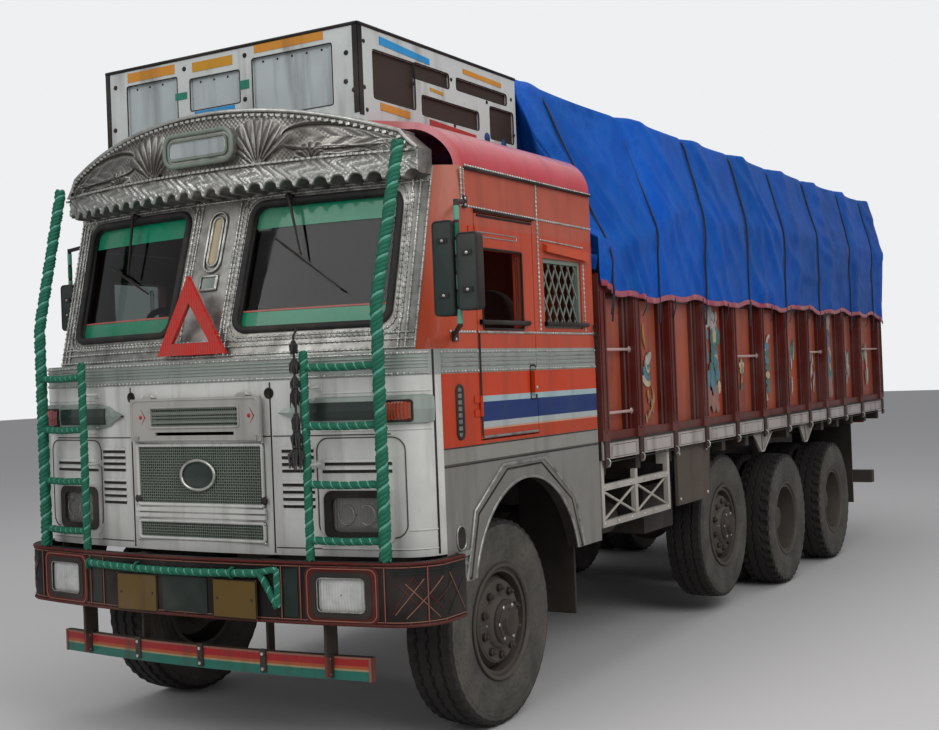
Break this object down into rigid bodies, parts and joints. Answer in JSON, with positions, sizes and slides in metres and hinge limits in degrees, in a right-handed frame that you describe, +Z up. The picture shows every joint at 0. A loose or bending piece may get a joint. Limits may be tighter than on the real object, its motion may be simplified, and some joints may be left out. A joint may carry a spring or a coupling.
{
  "type": "decorated goods lorry",
  "caption": "Decorated forward-control goods lorry with lift axle, twin-wheel bogie, roof luggage box, crown board, high-sided body and a tarpaulin.",
  "frame": {"origin": "centre of the bounding box on the ground", "axes": "+X forward along the lorry, +Y to its left, +Z up"},
  "size_m": [8.7908, 3.03, 3.4998],
  "materials": {
    "tyre": "dusty tread rubber",
    "wheel_paint": "dusty worn paint",
    "cast_parts": "oily dust",
    "chassis_paint": "dusty black",
    "white_paint": "weathered gloss",
    "grille_paint": "dusty mesh",
    "orange_paint": "faded gloss",
    "red_paint": "faded gloss",
    "silver_trim": "embossed sheet",
    "box_paint": "weathered satin",
    "cab_inside": "satin",
    "bumper_paint": "weathered satin",
    "plank_paint": "painted stripes",
    "body_paint": "weathered gloss",
    "floor_paint": "dusty band",
    "guard_paint": "dusty white",
    "mud_plate": "mud splashed",
    "black_plastic": "satin",
    "red_plastic": "reflector red",
    "seat_fabric": "woven cover",
    "rope_green": "twisted rope wrap",
    "tarp_blue": "plastic-coated sheet",
    "glass": "clear",
    "lamp_glass": "fluted lens",
    "lamp_red": "lens red"
  },
  "bodies": {
    "root": {"front_axle": "cast_parts", "rear_axles": "cast_parts", "engine": "cast_parts", "driveline": "cast_parts", "chassis_frame": "chassis_paint", "tanks": "chassis_paint", "under_run_bar": "chassis_paint", "front_panel": "white_paint", "grilles": "grille_paint", "cab_sides": "orange_paint", "cab_front": "silver_trim", "crown": "silver_trim", "roof_sign": "silver_trim", "windscreens": "glass", "cab_floor": "cab_inside", "cab_back": "orange_paint", "cab_roof": "red_paint", "roof_box": "box_paint", "sleeper_grilles": "grille_paint", "front_bumper": "bumper_paint", "lower_plank": "plank_paint", "head_lamps": "lamp_glass", "guards": "rope_green", "mirrors": "black_plastic", "warning_triangle": "red_plastic", "seats": "seat_fabric", "dashboard": "black_plastic", "load_floor": "floor_paint", "body_sides": "body_paint", "headboard": "body_paint", "tarp": "tarp_blue", "tarp_hoops": "chassis_paint", "side_guards": "guard_paint", "mud_guards": "mud_plate", "tail_lamps": "lamp_red"},
    "knuckle_left": {"knuckle_left": "cast_parts"},
    "knuckle_right": {"knuckle_right": "cast_parts"},
    "front_wheel_left": {"tyre_front_left": "tyre", "wheel_front_left": "wheel_paint"},
    "front_wheel_right": {"tyre_front_right": "tyre", "wheel_front_right": "wheel_paint"},
    "lift_wheel_left": {"tyre_lift_left": "tyre", "wheel_lift_left": "wheel_paint"},
    "lift_wheel_right": {"tyre_lift_right": "tyre", "wheel_lift_right": "wheel_paint"},
    "drive_wheel_1_left": {"tyres_drive_1_left": "tyre", "wheel_drive_1_left": "wheel_paint"},
    "drive_wheel_1_right": {"tyres_drive_1_right": "tyre", "wheel_drive_1_right": "wheel_paint"},
    "drive_wheel_2_left": {"tyres_drive_2_left": "tyre", "wheel_drive_2_left": "wheel_paint"},
    "drive_wheel_2_right": {"tyres_drive_2_right": "tyre", "wheel_drive_2_right": "wheel_paint"},
    "left_door": {"door_left": "orange_paint"},
    "right_door": {"door_right": "orange_paint"},
    "tailgate": {"tailgate": "body_paint"},
    "front_lid": {"front_lid": "white_paint"}
  },
  "joints": [
    {"name": "steer_left", "type": "hinge", "parent": "root", "child": "knuckle_left", "pos_m": [3.3205, 0.86, 0.512], "axis": [0, 0, 1], "range_deg": [-35, 35]},
    {"name": "steer_right", "type": "hinge", "parent": "root", "child": "knuckle_right", "pos_m": [3.3205, -0.86, 0.512], "axis": [0, 0, 1], "range_deg": [-35, 35]},
    {"name": "roll_front_left", "type": "hinge", "parent": "knuckle_left", "child": "front_wheel_left", "pos_m": [3.3205, 0.983, 0.512], "axis": [0, 1, 0], "continuous": true},
    {"name": "roll_front_right", "type": "hinge", "parent": "knuckle_right", "child": "front_wheel_right", "pos_m": [3.3205, -0.983, 0.512], "axis": [0, 1, 0], "continuous": true},
    {"name": "roll_lift_left", "type": "hinge", "parent": "root", "child": "lift_wheel_left", "pos_m": [0.0505, 0.983, 0.602], "axis": [0, 1, 0], "continuous": true},
    {"name": "roll_lift_right", "type": "hinge", "parent": "root", "child": "lift_wheel_right", "pos_m": [0.0505, -0.983, 0.602], "axis": [0, 1, 0], "continuous": true},
    {"name": "roll_drive_1_left", "type": "hinge", "parent": "root", "child": "drive_wheel_1_left", "pos_m": [-1.1795, 0.906, 0.512], "axis": [0, 1, 0], "continuous": true},
    {"name": "roll_drive_1_right", "type": "hinge", "parent": "root", "child": "drive_wheel_1_right", "pos_m": [-1.1795, -0.906, 0.512], "axis": [0, 1, 0], "continuous": true},
    {"name": "roll_drive_2_left", "type": "hinge", "parent": "root", "child": "drive_wheel_2_left", "pos_m": [-2.5775, 0.906, 0.512], "axis": [0, 1, 0], "continuous": true},
    {"name": "roll_drive_2_right", "type": "hinge", "parent": "root", "child": "drive_wheel_2_right", "pos_m": [-2.5775, -0.906, 0.512], "axis": [0, 1, 0], "continuous": true},
    {"name": "left_door_hinge", "type": "hinge", "parent": "root", "child": "left_door", "pos_m": [3.6805, 1.244, 2], "axis": [0, 0, -1], "range_deg": [0, 70]},
    {"name": "right_door_hinge", "type": "hinge", "parent": "root", "child": "right_door", "pos_m": [3.6805, -1.244, 2], "axis": [0, 0, 1], "range_deg": [0, 70]},
    {"name": "tailgate_hinge", "type": "hinge", "parent": "root", "child": "tailgate", "pos_m": [-4.3755, 0, 1.314], "axis": [0, -1, 0], "range_deg": [0, 175]},
    {"name": "front_lid_hinge", "type": "hinge", "parent": "root", "child": "front_lid", "pos_m": [4.2885, 0, 1.702], "axis": [0, -1, 0], "range_deg": [0, 85]}
  ],
  "couplings": [
    {"joint": "steer_right", "follows": "steer_left", "ratio": 1}
  ]
}
